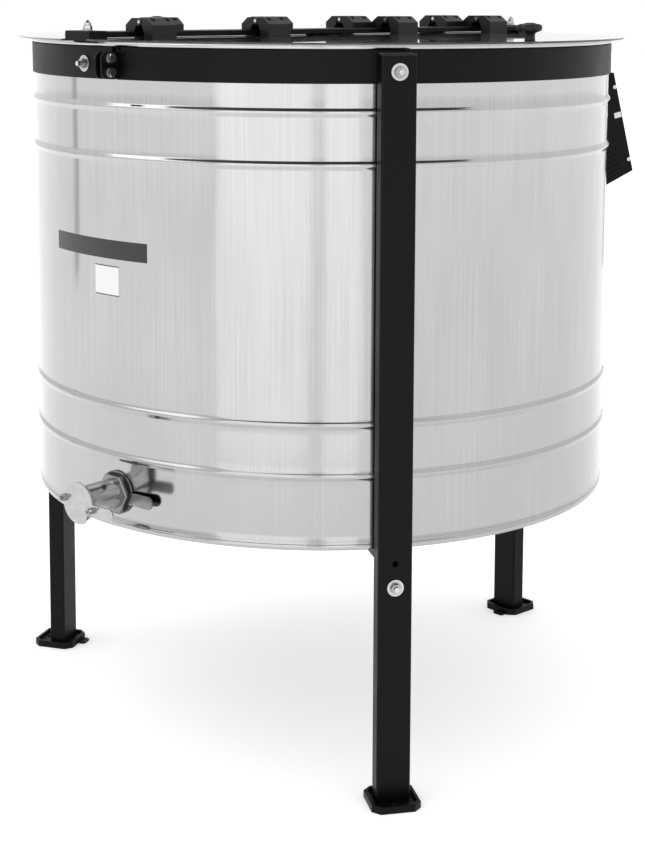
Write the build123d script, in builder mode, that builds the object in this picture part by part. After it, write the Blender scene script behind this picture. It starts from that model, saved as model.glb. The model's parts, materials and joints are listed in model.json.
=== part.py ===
"""Motor-driven honey extractor on three legs.

Frame: origin on the drum's axis at floor level, +Z up, the gate side towards -Y, the crossbar along Y.
Directions around the drum are azimuths in degrees, measured from -Y towards +X. All lengths are mm.
"""
from build123d import *
from math import cos, radians, sin, sqrt
import os

os.makedirs("parts", exist_ok=True)

# ------------------------------------------------------------------ driving dimensions
DRUM_R = 500.0            # outer radius of the stainless drum
SHEET = 1.2               # drum sheet thickness
DRUM_BOTTOM = 397.0       # lower edge of the drum above the floor
HOOP_LOW, HOOP_TOP = 1110.0, 1160.0
HOOP_T = 4.0              # flat bar of the hoop
BEAD_Z = (512.0, 592.0, 988.0, 1067.0)
BEAD_H, BEAD_OUT = 15.0, 3.6
RIM_R = 3.7               # rolled rim of the drum
LID_LOW, LID_T, LID_R = 1168.3, 3.0, 525.0

LEG_AZ = {"front_right": 60.0, "rear": 180.0, "front_left": -60.0}
LEG_W, LEG_D, LEG_WALL = 54.0, 30.0, 2.0
LEG_IN = DRUM_R + HOOP_T + 0.4          # radius of the leg's inner face
LEG_OUT = LEG_IN + LEG_D
LEG_LOW, LEG_TOP = 6.0, 1153.0
LEG_BOLT_Z, LEG_LOW_BOLT_Z, LEG_SPARE_Z = 1129.0, 346.0, 383.0
HOOP_BOLT_Z = 1133.0
LEG_MID = (LEG_IN + LEG_OUT) / 2
SPARE_HOLE_R = 4.75
FOOT_IN, FOOT_OUT, FOOT_W, FOOT_CUT, FOOT_H = 487.0, 565.0, 78.0, 12.0, 11.6

BAR_W, BAR_H, BAR_LOW = 64.0, 9.0, 1173.5
BAR_TOP = BAR_LOW + BAR_H
BAR_END = 518.0           # outer end faces of the bar brackets
BLOCK_LOW, BLOCK_TOP, BLOCK_LEN = 1168.3, 1184.2, 34.0

HINGE_Z = 1197.5          # hinge pin height
HINGE_X = BAR_W / 2       # hinge pin distance from the centre plane
HINGE_TOP = 1203.5
HINGE_HALF, HINGE_LEN = 35.5, 48.0
PIN_R = 3.0
RIGHT_HINGE_Y = (-398.0, -157.0, 148.0, 388.0)
LEFT_HINGE_Y = (-334.0, -95.0, 95.0, 337.0)

GATE_AZ, GATE_Z = 7.5, 454.0
BOX_AZ, BOX_W = 156.0, 180.0

SHAFT_R, SHAFT_TOP_R = 12.5, 10.0
BASKET_R = 458.0
SPOKES = 12

PULLEY_Z, PULLEY_T = 348.0, 16.0
BIG_PULLEY_R, SMALL_PULLEY_R = 100.0, 25.0
MOTOR_AZ, MOTOR_DIST = 240.0, 185.0

M8, M8_HOLE = 4.0, 4.3
M5, M5_HOLE = 2.5, 2.75


# ------------------------------------------------------------------ placing helpers
def radial_plane(azimuth, radius, height):
    """Plane facing straight out of the drum: x runs around the drum, y runs up."""
    a = radians(azimuth)
    return Plane(origin=(radius * sin(a), -radius * cos(a), height),
                 x_dir=(cos(a), sin(a), 0), z_dir=(sin(a), -cos(a), 0))


def flat_plane(azimuth, height):
    """Horizontal plane on the drum axis: x runs outwards along the azimuth."""
    a = radians(azimuth)
    return Plane(origin=(0, 0, height), x_dir=(sin(a), -cos(a), 0), z_dir=(0, 0, 1))


def side_plane(azimuth, around):
    """Upright plane holding the drum axis direction: x runs outwards, y runs up."""
    a = radians(azimuth)
    return Plane(origin=(around * cos(a), around * sin(a), 0),
                 x_dir=(sin(a), -cos(a), 0), z_dir=(-cos(a), -sin(a), 0))


def upright_at(azimuth, radius, height):
    """Horizontal plane centred on a point of the given azimuth, radius and height."""
    a = radians(azimuth)
    return Plane(origin=(radius * sin(a), -radius * cos(a), height))


def disc_at(plane, x, y, radius, length, mode=Mode.ADD):
    with BuildSketch(plane) as outline:
        with Locations((x, y)):
            Circle(radius)
    extrude(outline.sketch, amount=length, mode=mode)


def save(builder, name):
    builder.part.label = name
    export_step(builder.part, f"parts/{name}.step")


def ring(inner, outer, low, high):
    """Adds a plain round ring about the drum axis to the part being built."""
    with BuildSketch(Plane.XY.offset(low)) as outline:
        Circle(outer)
        Circle(inner, mode=Mode.SUBTRACT)
    extrude(outline.sketch, amount=high - low)


def disc(plane, radius, length, mode=Mode.ADD):
    with BuildSketch(plane) as outline:
        Circle(radius)
    extrude(outline.sketch, amount=length, mode=mode)


def washer(plane, outer, inner, thick):
    with BuildSketch(plane) as outline:
        Circle(outer)
        Circle(inner, mode=Mode.SUBTRACT)
    extrude(outline.sketch, amount=thick)


def hexagon(plane, across_flats, thick, hole=0.0):
    with BuildSketch(plane) as outline:
        RegularPolygon(across_flats / 2, 6, major_radius=False)
        if hole:
            Circle(hole, mode=Mode.SUBTRACT)
    extrude(outline.sketch, amount=thick)


# ------------------------------------------------------------------ drum
def wall_line(radius):
    """One face of the drum sheet from bottom to rim, with its stiffening beads."""
    z = DRUM_BOTTOM
    for bead in BEAD_Z:
        Line((radius, z), (radius, bead - BEAD_H / 2))
        ThreePointArc((radius, bead - BEAD_H / 2), (radius + BEAD_OUT, bead), (radius, bead + BEAD_H / 2))
        z = bead + BEAD_H / 2
    Line((radius, z), (radius, HOOP_TOP + 1))


HEM_H, HEM_T = 8.5, 1.1
RIM_Z = HOOP_TOP + 0.5 + RIM_R

with BuildPart() as drum_wall:
    with BuildSketch(Plane.XZ):
        with BuildLine():
            wall_line(DRUM_R)
            wall_line(DRUM_R - SHEET)
            Line((DRUM_R - SHEET, DRUM_BOTTOM), (DRUM_R, DRUM_BOTTOM))
            Line((DRUM_R - SHEET, HOOP_TOP + 1), (DRUM_R, HOOP_TOP + 1))
        make_face()
        with Locations((DRUM_R - SHEET / 2 + 1.8, RIM_Z)):
            Circle(RIM_R)
        with Locations((DRUM_R, DRUM_BOTTOM + HEM_H / 2)):
            Rectangle(2 * HEM_T, HEM_H)
    revolve(axis=Axis.Z)
    for azimuth in LEG_AZ.values():
        disc(radial_plane(azimuth, DRUM_R - 10, LEG_BOLT_Z), M8_HOLE, 20, Mode.SUBTRACT)
    disc(radial_plane(0, DRUM_R - 10, HOOP_BOLT_Z), M8_HOLE, 20, Mode.SUBTRACT)
    disc(radial_plane(GATE_AZ, DRUM_R - 10, GATE_Z), 24.2, 20, Mode.SUBTRACT)
save(drum_wall, "drum_wall")

FLOOR_EDGE_R = DRUM_R - SHEET
FLOOR_EDGE_Z, FLOOR_TOP_Z, FLOOR_T = 409.0, 442.0, 1.5
FLOOR_FLAT_R, SEAL_HOLE_R = 78.0, 26.0

with BuildPart() as drum_floor:
    with BuildSketch(Plane.XZ):
        with BuildLine():
            Polyline((FLOOR_EDGE_R, DRUM_BOTTOM), (FLOOR_EDGE_R, FLOOR_EDGE_Z),
                     (FLOOR_FLAT_R, FLOOR_TOP_Z), (SEAL_HOLE_R, FLOOR_TOP_Z),
                     (SEAL_HOLE_R, FLOOR_TOP_Z - FLOOR_T), (FLOOR_FLAT_R, FLOOR_TOP_Z - FLOOR_T),
                     (FLOOR_EDGE_R - FLOOR_T, FLOOR_EDGE_Z - FLOOR_T), (FLOOR_EDGE_R - FLOOR_T, DRUM_BOTTOM),
                     close=True)
        make_face()
    revolve(axis=Axis.Z)
save(drum_floor, "drum_floor")

# ------------------------------------------------------------------ hoop and its clamp
CLAMP_AZ, CLAMP_GAP = 8.2, 9.0
EAR_R, EAR_LOW, EAR_TOP = DRUM_R + 38.0, 1112.0, 1153.0
EAR_BOLT_R, EAR_BOLT_Z = 521.0, (1121.5, 1143.5)
HOOP_IN = DRUM_R + 0.2
HOOP_OUT = DRUM_R + HOOP_T

with BuildPart() as hoop_band:
    ring(HOOP_IN, HOOP_OUT, HOOP_LOW, HOOP_TOP)
    with BuildSketch(flat_plane(CLAMP_AZ, HOOP_LOW - 1)):
        with Locations((DRUM_R, 0)):
            Rectangle(30, CLAMP_GAP)
    extrude(amount=60, mode=Mode.SUBTRACT)
    with BuildSketch(radial_plane(CLAMP_AZ, DRUM_R - 10, HOOP_TOP)):
        with Locations((CLAMP_GAP / 2 + HOOP_T + 3.5, 0)):
            Rectangle(7, 9)
    extrude(amount=30, mode=Mode.SUBTRACT)
    for side in (-1, 1):
        inner_face = side * CLAMP_GAP / 2
        with BuildSketch(side_plane(CLAMP_AZ, inner_face)) as ear:
            with Locations(((HOOP_IN + 1 + EAR_R) / 2, (EAR_LOW + EAR_TOP) / 2)):
                Rectangle(EAR_R - HOOP_IN - 1, EAR_TOP - EAR_LOW)
            fillet(ear.vertices().group_by(Axis.X)[-1], 10)
            with Locations(*[(EAR_BOLT_R, z) for z in EAR_BOLT_Z]):
                Circle(M8_HOLE, mode=Mode.SUBTRACT)
        extrude(amount=-side * HOOP_T)
    for azimuth in LEG_AZ.values():
        disc(radial_plane(azimuth, DRUM_R - 10, LEG_BOLT_Z), M8_HOLE, 20, Mode.SUBTRACT)
    disc(radial_plane(0, DRUM_R - 10, HOOP_BOLT_Z), M8_HOLE, 20, Mode.SUBTRACT)
save(hoop_band, "hoop_band")


def around_plane(azimuth, radius, height, around):
    """Plane whose normal runs around the drum, a distance 'around' past the azimuth."""
    a = radians(azimuth)
    return Plane(origin=(radius * sin(a) + around * cos(a), -radius * cos(a) + around * sin(a), height),
                 x_dir=(sin(a), -cos(a), 0), z_dir=(cos(a), sin(a), 0))


EAR_FACE = CLAMP_GAP / 2 + HOOP_T
with BuildPart() as hoop_clamp_bolts:
    for z in EAR_BOLT_Z:
        disc(around_plane(CLAMP_AZ, EAR_BOLT_R, z, -EAR_FACE - 14), M8, 2 * EAR_FACE + 14 + 1.6)
        hexagon(around_plane(CLAMP_AZ, EAR_BOLT_R, z, EAR_FACE + 1.6), 13, 5.3)
        washer(around_plane(CLAMP_AZ, EAR_BOLT_R, z, EAR_FACE), 8.5, M8 + 0.02, 1.6)
        washer(around_plane(CLAMP_AZ, EAR_BOLT_R, z, -EAR_FACE - 1.6), 8.5, M8 + 0.02, 1.6)
        hexagon(around_plane(CLAMP_AZ, EAR_BOLT_R, z, -EAR_FACE - 8.1), 13, 6.5, M8 + 0.02)
save(hoop_clamp_bolts, "hoop_clamp_bolts")


# ------------------------------------------------------------------ legs, feet and their fasteners
def wall_bolt(azimuth, height, inside, outside, thread):
    """Bolt with its flat head inside and its thread standing out of the washer and nut."""
    disc(radial_plane(azimuth, inside, height), M8, outside + thread - inside)
    disc(radial_plane(azimuth, inside - 4, height), 8, 4)


def wall_nut(azimuth, height, outside):
    washer(radial_plane(azimuth, outside, height), 12.9, M8 + 0.02, 2)
    hexagon(radial_plane(azimuth, outside + 2, height), 13, 6.5, M8 + 0.02)


for name, azimuth in LEG_AZ.items():
    with BuildPart() as leg:
        with BuildSketch(flat_plane(azimuth, LEG_LOW)):
            with Locations((LEG_MID, 0)):
                RectangleRounded(LEG_D, LEG_W, 3.5)
                RectangleRounded(LEG_D - 2 * LEG_WALL, LEG_W - 2 * LEG_WALL, 1.5, mode=Mode.SUBTRACT)
        extrude(amount=LEG_TOP - LEG_LOW)
        for z in (LEG_BOLT_Z, LEG_LOW_BOLT_Z):
            disc(radial_plane(azimuth, LEG_IN - 5, z), M8_HOLE, LEG_D + 10, Mode.SUBTRACT)
        disc(radial_plane(azimuth, LEG_IN - 5, LEG_SPARE_Z), SPARE_HOLE_R, LEG_D + 10, Mode.SUBTRACT)
    save(leg, f"leg_{name}")

FOOT_MID, FOOT_LIP, LUG_T = (FOOT_IN + FOOT_OUT) / 2, 5.5, 3.5
ANCHOR_R, ANCHOR_HOLE = 547.0, 5.5        # floor anchor hole of each foot


def foot_outline(inset):
    """Square tray outline with its corners cut off."""
    with Locations((FOOT_MID, 0)):
        outline = Rectangle(FOOT_OUT - FOOT_IN - 2 * inset, FOOT_W - 2 * inset)
    chamfer(outline.vertices(), FOOT_CUT - 0.6 * inset)


with BuildPart() as feet:
    for azimuth in LEG_AZ.values():
        with BuildSketch(flat_plane(azimuth, 0)):
            foot_outline(0)
        extrude(amount=FOOT_H)
    chamfer(feet.faces().group_by(Axis.Z)[-1].edges(), 1.2)
    for azimuth in LEG_AZ.values():
        with BuildSketch(flat_plane(azimuth, LEG_LOW)):
            foot_outline(FOOT_LIP)
        extrude(amount=FOOT_H, mode=Mode.SUBTRACT)
        with BuildSketch(flat_plane(azimuth, 0)):
            with Locations((FOOT_IN - 2, -10)):
                RectangleRounded(22, 24, 5)
        extrude(amount=LUG_T)
        disc(upright_at(azimuth, ANCHOR_R, 0), ANCHOR_HOLE, LEG_LOW, Mode.SUBTRACT)
save(feet, "feet")

with BuildPart() as leg_caps:
    for azimuth in LEG_AZ.values():
        with BuildSketch(flat_plane(azimuth, LEG_TOP)):
            with Locations((LEG_MID, 0)):
                RectangleRounded(LEG_D, LEG_W, 3.5)
        extrude(amount=3.5)
        with BuildSketch(flat_plane(azimuth, LEG_TOP)):
            with Locations((LEG_MID, 0)):
                RectangleRounded(LEG_D - 2 * LEG_WALL - 0.6, LEG_W - 2 * LEG_WALL - 0.6, 1.2)
        extrude(amount=-12)
    chamfer(leg_caps.faces().group_by(Axis.Z)[-1].edges(), 1.4)
save(leg_caps, "leg_caps")

# ------------------------------------------------------------------ under frame that carries the drum
ARM_H, ARM_W = 20.0, 40.0
PLATE_T, PLATE_R = 8.0, 112.0
ARM_LOW = DRUM_BOTTOM - ARM_H
BRACKET_T = 5.0
BRACKET_IN = LEG_IN - BRACKET_T
FLANGE_BOLTS = [(70 * cos(radians(k)), 70 * sin(radians(k))) for k in (45, 135, 225, 315)]

with BuildPart() as under_frame:
    ring(34, PLATE_R, DRUM_BOTTOM - PLATE_T, DRUM_BOTTOM)
    for azimuth in LEG_AZ.values():
        with BuildSketch(flat_plane(azimuth, ARM_LOW)):
            with Locations(((PLATE_R - 8 + BRACKET_IN) / 2, 0)):
                Rectangle(BRACKET_IN - PLATE_R + 8, ARM_W)
        extrude(amount=ARM_H)
    with BuildSketch(flat_plane(MOTOR_AZ, DRUM_BOTTOM - PLATE_T)):
        with Locations((170, 0)):
            Rectangle(170, 150)
    extrude(amount=PLATE_T)
    for x, y in FLANGE_BOLTS:
        disc(Plane(origin=(x, y, ARM_LOW)), M8_HOLE, ARM_H, Mode.SUBTRACT)
save(under_frame, "under_frame")

with BuildPart() as leg_brackets:
    for azimuth in LEG_AZ.values():
        with BuildSketch(flat_plane(azimuth, 330)):
            with Locations(((BRACKET_IN + LEG_IN) / 2, 0)):
                Rectangle(BRACKET_T, ARM_W)
        extrude(amount=DRUM_BOTTOM - 330.5)
        with BuildSketch(side_plane(azimuth, -BRACKET_T / 2)):
            with BuildLine():
                Polyline((BRACKET_IN, ARM_LOW), (BRACKET_IN - 45, ARM_LOW), (BRACKET_IN, 354), close=True)
            make_face()
        extrude(amount=-BRACKET_T)
        disc(radial_plane(azimuth, BRACKET_IN - 5, LEG_LOW_BOLT_Z), M8_HOLE, 20, Mode.SUBTRACT)
        disc(radial_plane(azimuth, BRACKET_IN - 5, LEG_SPARE_Z), 4.75, 20, Mode.SUBTRACT)
save(leg_brackets, "leg_brackets")

TAB_IN, TAB_T, TAB_W = 493.0, 4.0, 40.0      # bar bracket tabs inside the drum wall

with BuildPart() as frame_bolts:
    for name, azimuth in LEG_AZ.items():
        inside = TAB_IN if name == "rear" else DRUM_R - SHEET - 0.1
        wall_bolt(azimuth, LEG_BOLT_Z, inside, LEG_OUT, 12)
        wall_nut(azimuth, LEG_BOLT_Z, LEG_OUT)
        wall_bolt(azimuth, LEG_LOW_BOLT_Z, BRACKET_IN, LEG_OUT, 12)
        wall_nut(azimuth, LEG_LOW_BOLT_Z, LEG_OUT)
    wall_bolt(0, HOOP_BOLT_Z, TAB_IN, HOOP_OUT, 15)
    wall_nut(0, HOOP_BOLT_Z, HOOP_OUT)
save(frame_bolts, "frame_bolts")

# ------------------------------------------------------------------ crossbar, its end brackets and centre strip
STUD_R = 498.0
BLOCK_W = BAR_W + 2.0
STRIP_END = 491.0
TOP_SCREW_X, TOP_HEAD_R = (-23.0, 23.0), 6.5      # screws sunk in the bar, heads on its lower wall

with BuildPart() as crossbar:
    with BuildSketch(Plane.XY.offset(BAR_LOW)):
        Rectangle(BAR_W, 2 * (BAR_END - 4))
    extrude(amount=BAR_H)
    fillet(crossbar.edges().filter_by(Axis.Y), 2)
    with BuildSketch(Plane.XY.offset(BAR_LOW + 1.5)):
        Rectangle(BAR_W - 3, 2 * (BAR_END - 5.5))
    extrude(amount=BAR_H - 3, mode=Mode.SUBTRACT)
    with Locations((0, -STUD_R, BAR_TOP), (0, STUD_R, BAR_TOP)):
        Hole(M8_HOLE, depth=BAR_H)
    with Locations(*[(x, 0, BAR_TOP) for x in TOP_SCREW_X]):
        Hole(M8_HOLE, depth=BAR_H)
        Hole(TOP_HEAD_R + 0.2, depth=BAR_H - 2.5)
save(crossbar, "crossbar")

TAB_LOW, STUD_LOW = 1115.0, 1173.5
with BuildPart() as bar_brackets:
    for azimuth in (0, 180):
        with BuildSketch(flat_plane(azimuth, BLOCK_LOW)):
            with Locations((BAR_END - BLOCK_LEN / 2, 0)):
                Rectangle(BLOCK_LEN, BLOCK_W)
        extrude(amount=BLOCK_TOP - BLOCK_LOW)
    fillet(bar_brackets.faces().group_by(Axis.Z)[-1].edges(), 2.5)
    for azimuth, bolt_z in ((0, HOOP_BOLT_Z), (180, LEG_BOLT_Z)):
        with BuildSketch(flat_plane(azimuth, BAR_LOW - 0.02)):
            with Locations((BAR_END - BLOCK_LEN / 2 - 3.9, 0)):
                Rectangle(BLOCK_LEN + 0.2, BAR_W + 0.04)
        extrude(amount=BAR_H + 0.04, mode=Mode.SUBTRACT)
        with BuildSketch(flat_plane(azimuth, BLOCK_LOW - 1)):
            with Locations((STRIP_END - 10, 0)):
                Rectangle(20.4, BLOCK_W + 2)
        extrude(amount=LID_T + 1.02, mode=Mode.SUBTRACT)
        with BuildSketch(flat_plane(azimuth, TAB_LOW)):
            with Locations((TAB_IN + TAB_T / 2, 0)):
                Rectangle(TAB_T, TAB_W)
        extrude(amount=BLOCK_LOW + 1 - TAB_LOW)
        disc(radial_plane(azimuth, TAB_IN - 5, bolt_z), M8_HOLE, 12, Mode.SUBTRACT)
        disc(upright_at(azimuth, STUD_R, STUD_LOW - 1), M8_HOLE, 20, Mode.SUBTRACT)
save(bar_brackets, "bar_brackets")

DOME_H = 16.5
with BuildPart() as crossbar_cap_nuts:
    for azimuth in (0, 180):
        nut = upright_at(azimuth, STUD_R, BLOCK_TOP)
        washer(nut, 8.5, M8 + 0.02, 1.6)
        hexagon(nut.offset(1.6), 13, 6)
        disc(nut.offset(7.5), 5.6, DOME_H - 7.5)
    chamfer(crossbar_cap_nuts.faces().group_by(Axis.Z)[-1].edges(), 4.5, 3)
    for azimuth in (0, 180):
        disc(upright_at(azimuth, STUD_R, BLOCK_TOP + 1.6), M8 + 0.02, 8.4, Mode.SUBTRACT)
        disc(upright_at(azimuth, STUD_R, STUD_LOW), M8, BLOCK_TOP + 9 - STUD_LOW)
save(crossbar_cap_nuts, "crossbar_cap_nuts")

TOP_HOUSING_R = 29.0
with BuildPart() as centre_strip:
    with BuildSketch(Plane.XY.offset(LID_LOW)):
        Rectangle(BLOCK_W, 2 * STRIP_END)
        Circle(TOP_HOUSING_R + 0.5, mode=Mode.SUBTRACT)
    extrude(amount=LID_T)
save(centre_strip, "centre_strip")

# ------------------------------------------------------------------ lids, knobs and hinges
GAP_ZONE = 7.5            # half width of the zone where the two hinge leaves interlock
KNUCKLE_R = HINGE_TOP - HINGE_Z
KNUCKLE_SPLIT = 8.0
SLOPE_RUN, SLOPE_DROP = 16.0, 11.0
ARCH_W, ARCH_TOP = 13.0, 1192.0
SCREW_X, SCREW_Y = 22.5, 14.0


def leaf_shape(side, knuckle_spans):
    """One hinge leaf: side -1 lies on the crossbar and side +1 on the lid."""
    half = HINGE_LEN / 2
    screw_x = HINGE_X + side * SCREW_X
    with BuildPart() as leaf:
        with BuildSketch(Plane.XZ.offset(-half)):
            with BuildLine():
                Polyline((HINGE_X + side * GAP_ZONE, HINGE_TOP),
                         (HINGE_X + side * (HINGE_HALF - SLOPE_RUN), HINGE_TOP),
                         (HINGE_X + side * HINGE_HALF, HINGE_TOP - SLOPE_DROP),
                         (HINGE_X + side * HINGE_HALF, BAR_TOP),
                         (HINGE_X + side * ARCH_W, BAR_TOP),
                         (HINGE_X + side * (GAP_ZONE + 0.5), ARCH_TOP - 0.5),
                         (HINGE_X + side * GAP_ZONE, ARCH_TOP), close=True)
            make_face()
        extrude(amount=HINGE_LEN)
        for low, high in knuckle_spans:
            with BuildSketch(Plane.XZ.offset(-high)):
                with Locations((HINGE_X, HINGE_Z)):
                    Circle(KNUCKLE_R)
                with Locations((HINGE_X + side * (GAP_ZONE + 0.02) / 2, HINGE_Z)):
                    Rectangle(GAP_ZONE + 0.02, 2 * KNUCKLE_R)
            extrude(amount=high - low)
        with BuildSketch(Plane.XZ.offset(-half - 1)):
            with Locations((HINGE_X, HINGE_Z)):
                Circle(PIN_R + (0.05 if side > 0 else 0))
        extrude(amount=HINGE_LEN + 2, mode=Mode.SUBTRACT)
        with Locations(*[(screw_x, y, HINGE_TOP - 7) for y in (-SCREW_Y, SCREW_Y)]):
            CounterSinkHole(M5_HOLE, 4.6, depth=30)
            Cylinder(4.6, 12, align=(Align.CENTER, Align.CENTER, Align.MIN), mode=Mode.SUBTRACT)
    return leaf.part


def place_leaves(leaf, y_places, turn):
    """Adds copies of a hinge leaf along one hinge row of the part being built."""
    for y in y_places:
        add(leaf.moved(Location((0, y, 0), (0, 0, turn))))


def hinge_screw(x, y, bottom):
    """Countersunk screw sunk in its leaf."""
    head_top = HINGE_TOP - 7.3
    spot = Plane(origin=(x, y, head_top))
    disc(spot, M5, bottom - head_top)
    with BuildSketch(spot) as head:
        with Locations((0, 0)):
            Circle(4.3)
    extrude(head.sketch, amount=-1.8, taper=45)


def screw_places(side, y_places, mirrored):
    sign = -1 if mirrored else 1
    return [(sign * (HINGE_X + side * SCREW_X), y + dy) for y in y_places for dy in (-SCREW_Y, SCREW_Y)]


OUTER_SPANS = ((-HINGE_LEN / 2, -KNUCKLE_SPLIT), (KNUCKLE_SPLIT, HINGE_LEN / 2))
bar_leaf = leaf_shape(-1, OUTER_SPANS)
lid_leaf = leaf_shape(1, ((0.3 - KNUCKLE_SPLIT, KNUCKLE_SPLIT - 0.3),))

with BuildPart() as hinge_bar_leaves:
    place_leaves(bar_leaf, RIGHT_HINGE_Y, 0)
    place_leaves(bar_leaf, LEFT_HINGE_Y, 180)
save(hinge_bar_leaves, "hinge_bar_leaves")

with BuildPart() as hinge_bar_screws:
    for x, y in screw_places(-1, RIGHT_HINGE_Y, False) + screw_places(-1, LEFT_HINGE_Y, True):
        hinge_screw(x, y, BAR_TOP + 0.1)
save(hinge_bar_screws, "hinge_bar_screws")

with BuildPart() as hinge_pins:
    for sign, places in ((1, RIGHT_HINGE_Y), (-1, LEFT_HINGE_Y)):
        for y in places:
            disc(Plane(origin=(sign * HINGE_X, y - HINGE_LEN / 2 - 0.6, HINGE_Z),
                       x_dir=(1, 0, 0), z_dir=(0, 1, 0)), PIN_R, HINGE_LEN + 1.2)
save(hinge_pins, "hinge_pins")

LID_INNER_X = BLOCK_W / 2 + 0.5
KNOB_R_AT = 481.0
FOOT_RISE_IN = 45.0       # inner edge of the foot that raises a lid leaf to the crossbar's height
KNOB_LOBES = 5

for side_name, sign, hinge_places in (("right", 1, RIGHT_HINGE_Y), ("left", -1, LEFT_HINGE_Y)):
    mirrored = sign < 0
    with BuildPart() as lid:
        with BuildSketch(Plane.XY.offset(LID_LOW)):
            Circle(LID_R)
            with Locations((-sign * (LID_R - LID_INNER_X), 0)):
                Rectangle(2 * LID_R, 2 * LID_R + 2, mode=Mode.SUBTRACT)
        extrude(amount=LID_T)
        with Locations((sign * KNOB_R_AT, 0, LID_LOW + LID_T)):
            Hole(M5_HOLE, depth=LID_T)
    save(lid, f"lid_{side_name}")

    with BuildPart() as lid_leaves:
        for y in hinge_places:
            with BuildSketch(Plane.XY.offset(LID_LOW + LID_T)):
                with Locations((sign * (FOOT_RISE_IN + HINGE_X + HINGE_HALF) / 2, y)):
                    Rectangle(HINGE_X + HINGE_HALF - FOOT_RISE_IN, HINGE_LEN)
            extrude(amount=BAR_TOP - LID_LOW - LID_T)
        for x, y in screw_places(1, hinge_places, mirrored):
            disc(Plane(origin=(x, y, LID_LOW + LID_T)), M5_HOLE, 20, Mode.SUBTRACT)
        place_leaves(lid_leaf, hinge_places, 180 if mirrored else 0)
    save(lid_leaves, f"lid_{side_name}_hinge_leaves")

    with BuildPart() as lid_screws:
        for x, y in screw_places(1, hinge_places, mirrored):
            hinge_screw(x, y, LID_LOW + LID_T + 0.2)
        under = Plane(origin=(sign * KNOB_R_AT, 0, LID_LOW))
        disc(under, M5, 14)
        disc(under.offset(-3), 5, 3)
    save(lid_screws, f"lid_{side_name}_screws")

    knob_x, knob_base = sign * KNOB_R_AT, LID_LOW + LID_T
    with BuildPart() as knob:
        disc(Plane(origin=(knob_x, 0, knob_base)), 12, 15)
        with BuildSketch(Plane(origin=(knob_x, 0, knob_base + 13))):
            Circle(21)
            with PolarLocations(28, KNOB_LOBES, start_angle=36):
                Circle(9, mode=Mode.SUBTRACT)
        extrude(amount=15)
        fillet(knob.faces().sort_by(Axis.Z)[-1].edges(), 3)
        disc(Plane(origin=(knob_x, 0, knob_base)), M5, 14, Mode.SUBTRACT)
    save(knob, f"lid_{side_name}_knob")

# ------------------------------------------------------------------ basket bearings
TOP_BEARING_LOW, TOP_BEARING_T, TOP_BEARING_R = 1142.0, 12.0, 21.0
LOW_BEARING_LOW, LOW_BEARING_T, LOW_BEARING_R = 412.0, 15.0, 26.0
RUN = 0.05                # radial running clearance of shafts in their bearings

with BuildPart() as top_bearing_housing:
    with BuildSketch(Plane.XY.offset(TOP_BEARING_LOW - 2)):
        Circle(TOP_HOUSING_R)
        Circle(TOP_BEARING_R - 4, mode=Mode.SUBTRACT)
    extrude(amount=BAR_LOW - TOP_BEARING_LOW + 2)
    with BuildSketch(Plane.XY.offset(TOP_BEARING_LOW - 2)):
        Circle(TOP_BEARING_R)
    extrude(amount=TOP_BEARING_T + 2, mode=Mode.SUBTRACT)
    for x in TOP_SCREW_X:
        disc(Plane(origin=(x, 0, BAR_LOW - 9)), M8_HOLE, 9, Mode.SUBTRACT)
save(top_bearing_housing, "top_bearing_housing")


def bearing(bore, outer, low, thick):
    """Ball bearing with its two races and the shield between them in one piece."""
    ring(bore, outer, low + 0.6, low + thick - 0.6)
    for start in (low, low + thick - 0.61):
        ring(bore, bore + 3, start, start + 0.61)
        ring(outer - 3, outer, start, start + 0.61)


with BuildPart() as basket_bearings:
    bearing(SHAFT_TOP_R + RUN, TOP_BEARING_R, TOP_BEARING_LOW, TOP_BEARING_T)
    bearing(SHAFT_R + RUN, LOW_BEARING_R, LOW_BEARING_LOW, LOW_BEARING_T)
save(basket_bearings, "basket_bearings")

FLANGE_R, FLANGE_T, LOW_HOUSING_R = 84.0, 8.0, 44.0
with BuildPart() as lower_bearing_housing:
    ring(18, FLANGE_R, DRUM_BOTTOM, DRUM_BOTTOM + FLANGE_T)
    ring(18, LOW_HOUSING_R, DRUM_BOTTOM, FLOOR_TOP_Z - FLOOR_T)
    with BuildSketch(Plane.XY.offset(LOW_BEARING_LOW)):
        Circle(LOW_BEARING_R)
    extrude(amount=LOW_BEARING_T, mode=Mode.SUBTRACT)
    with BuildSketch(Plane.XY.offset(LOW_BEARING_LOW + LOW_BEARING_T)):
        Circle(SEAL_HOLE_R)
    extrude(amount=40, mode=Mode.SUBTRACT)
    for x, y in FLANGE_BOLTS:
        disc(Plane(origin=(x, y, DRUM_BOTTOM)), M8_HOLE, FLANGE_T, Mode.SUBTRACT)
save(lower_bearing_housing, "lower_bearing_housing")

with BuildPart() as bearing_housing_bolts:
    for x, y in FLANGE_BOLTS:
        spot = Plane(origin=(x, y, DRUM_BOTTOM + FLANGE_T))
        hexagon(spot, 13, 5.3)
        disc(spot.offset(-FLANGE_T - PLATE_T - 8), M8, FLANGE_T + PLATE_T + 8)
        hexagon(spot.offset(-FLANGE_T - PLATE_T - 6.5), 13, 6.5)
    for x in TOP_SCREW_X:
        disc(Plane(origin=(x, 0, BAR_LOW - 8.5)), M8, BAR_H + 7)
        disc(Plane(origin=(x, 0, BAR_LOW + 1.52)), TOP_HEAD_R, BAR_H - 2)
save(bearing_housing_bolts, "bearing_housing_bolts")

with BuildPart() as shaft_seal:
    ring(SHAFT_R + RUN, SEAL_HOLE_R, LOW_BEARING_LOW + LOW_BEARING_T + 4, FLOOR_TOP_Z + 0.5)
save(shaft_seal, "shaft_seal")

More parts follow.
